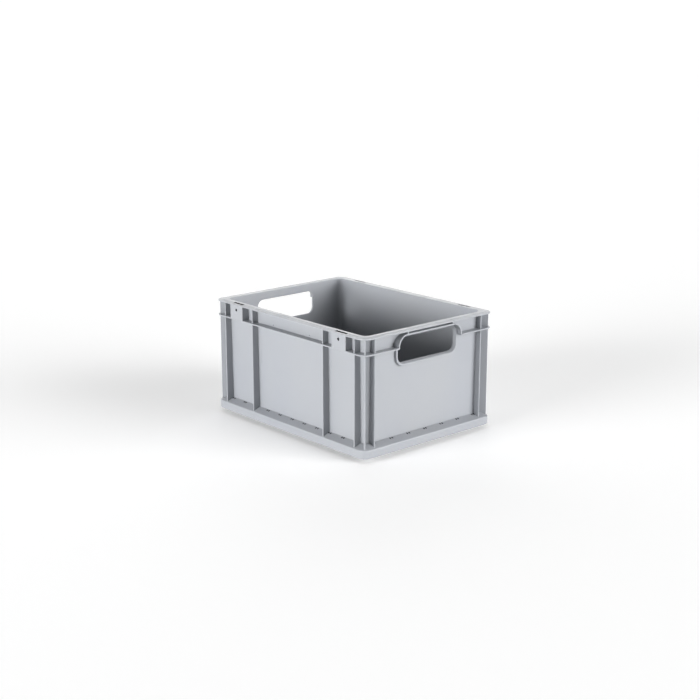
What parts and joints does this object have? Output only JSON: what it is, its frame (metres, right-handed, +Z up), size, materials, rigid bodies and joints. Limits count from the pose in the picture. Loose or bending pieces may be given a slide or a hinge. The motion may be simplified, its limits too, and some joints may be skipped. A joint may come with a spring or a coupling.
{
  "type": "stacking plastic crate",
  "caption": "Open-topped rectangular stacking crate with closed ribbed walls, hand-hold openings in both ends, a flat rim and a base ring with a stacking foot.",
  "frame": {"origin": "middle of the underside, on the plane the crate stands on", "axes": "+X along the long sides towards the right-hand end, +Y across the crate towards the rear long side, +Z up"},
  "size_m": [0.4, 0.3, 0.21],
  "materials": {
    "shell": "silver-grey polypropylene, satin, very fine moulded grain",
    "rim": "silver-grey polypropylene, smoother satin, rubbed by stacking",
    "ribs": "silver-grey polypropylene, satin",
    "underside": "silver-grey polypropylene, dulled by standing and sliding"
  },
  "bodies": {
    "root": {"floor_panel": "shell", "stacking_foot": "underside", "underside_cross_ribs": "underside", "underside_long_ribs": "underside", "front_base_rail": "rim", "rear_base_rail": "rim", "left_base_rail": "rim", "right_base_rail": "rim", "base_ring_webs": "underside", "front_wall": "shell", "rear_wall": "shell", "left_end_wall": "shell", "right_end_wall": "shell", "base_corner_front_left": "rim", "base_corner_front_right": "rim", "base_corner_rear_left": "rim", "base_corner_rear_right": "rim", "corner_wall_front_left": "shell", "corner_wall_front_right": "shell", "corner_wall_rear_left": "shell", "corner_wall_rear_right": "shell", "front_wall_ribs": "ribs", "rear_wall_ribs": "ribs", "corner_ribs_front_left": "ribs", "corner_ribs_front_right": "ribs", "corner_ribs_rear_left": "ribs", "corner_ribs_rear_right": "ribs", "front_flange": "ribs", "rear_flange": "ribs", "left_end_flange": "ribs", "right_end_flange": "ribs", "corner_flange_front_left": "ribs", "corner_flange_front_right": "ribs", "corner_flange_rear_left": "ribs", "corner_flange_rear_right": "ribs", "latch_block_front_left": "ribs", "latch_block_front_right": "ribs", "latch_block_rear_left": "ribs", "latch_block_rear_right": "ribs", "left_handle_lip": "ribs", "right_handle_lip": "ribs", "left_handle_arch": "ribs", "right_handle_arch": "ribs", "top_rim": "rim"}
  },
  "joints": []
}
